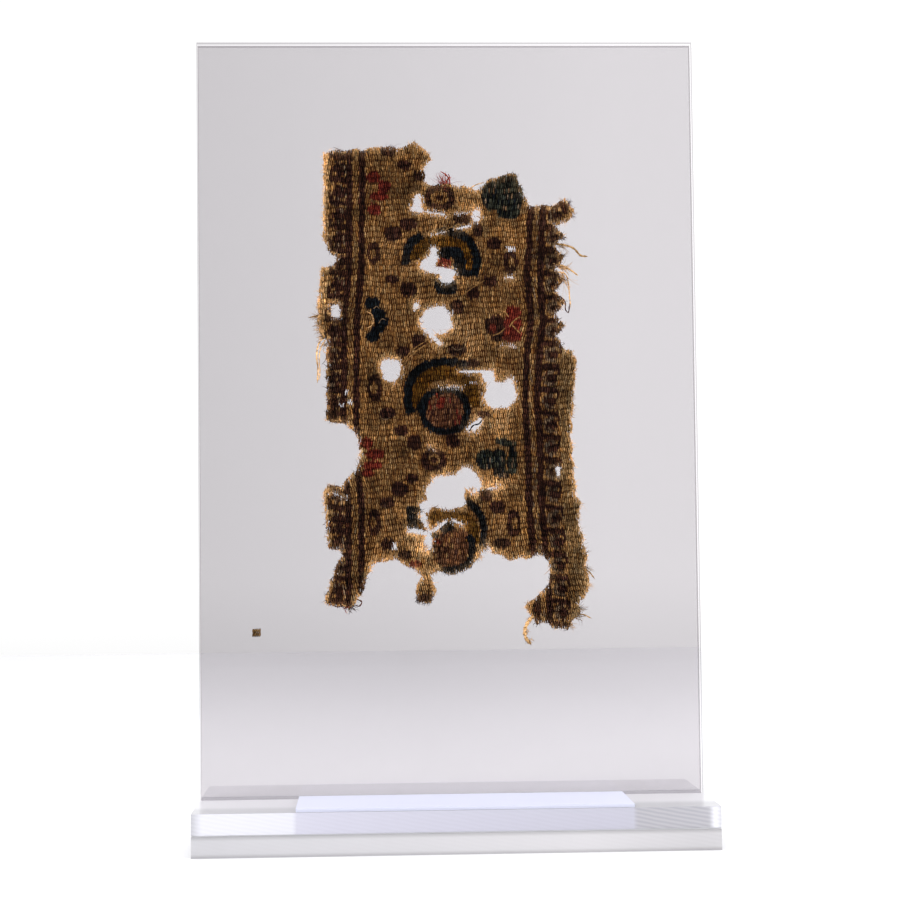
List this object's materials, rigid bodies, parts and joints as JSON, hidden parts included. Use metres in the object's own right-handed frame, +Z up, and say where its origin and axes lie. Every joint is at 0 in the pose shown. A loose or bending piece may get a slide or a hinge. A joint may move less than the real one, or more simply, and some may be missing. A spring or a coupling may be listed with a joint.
{
  "type": "tapestry textile fragment in a clear display stand",
  "caption": "Torn wool tapestry fragment with borders, roundels and worn holes, pressed between clear acrylic panes that stand in a slotted foot with a blank card.",
  "frame": {"origin": "middle of the foot's underside, on the table", "axes": "+Z up along the panes, +X to the right across the panes seen from the front, +Y to the back"},
  "size_m": [0.125, 0.055, 0.1993],
  "materials": {
    "acrylic": "clear polished acrylic, sawn on the front edge",
    "card": "blank white paper card",
    "wool": "aged weft-faced tapestry weave, tan ground with dark brown, navy, ochre, red and green motifs"
  },
  "bodies": {
    "root": {"base_plate": "acrylic", "front_bar": "acrylic", "back_bar": "acrylic", "front_pane": "acrylic", "back_pane": "acrylic", "label_card": "card", "tapestry": "wool", "cloth_crumb": "wool"}
  },
  "joints": []
}
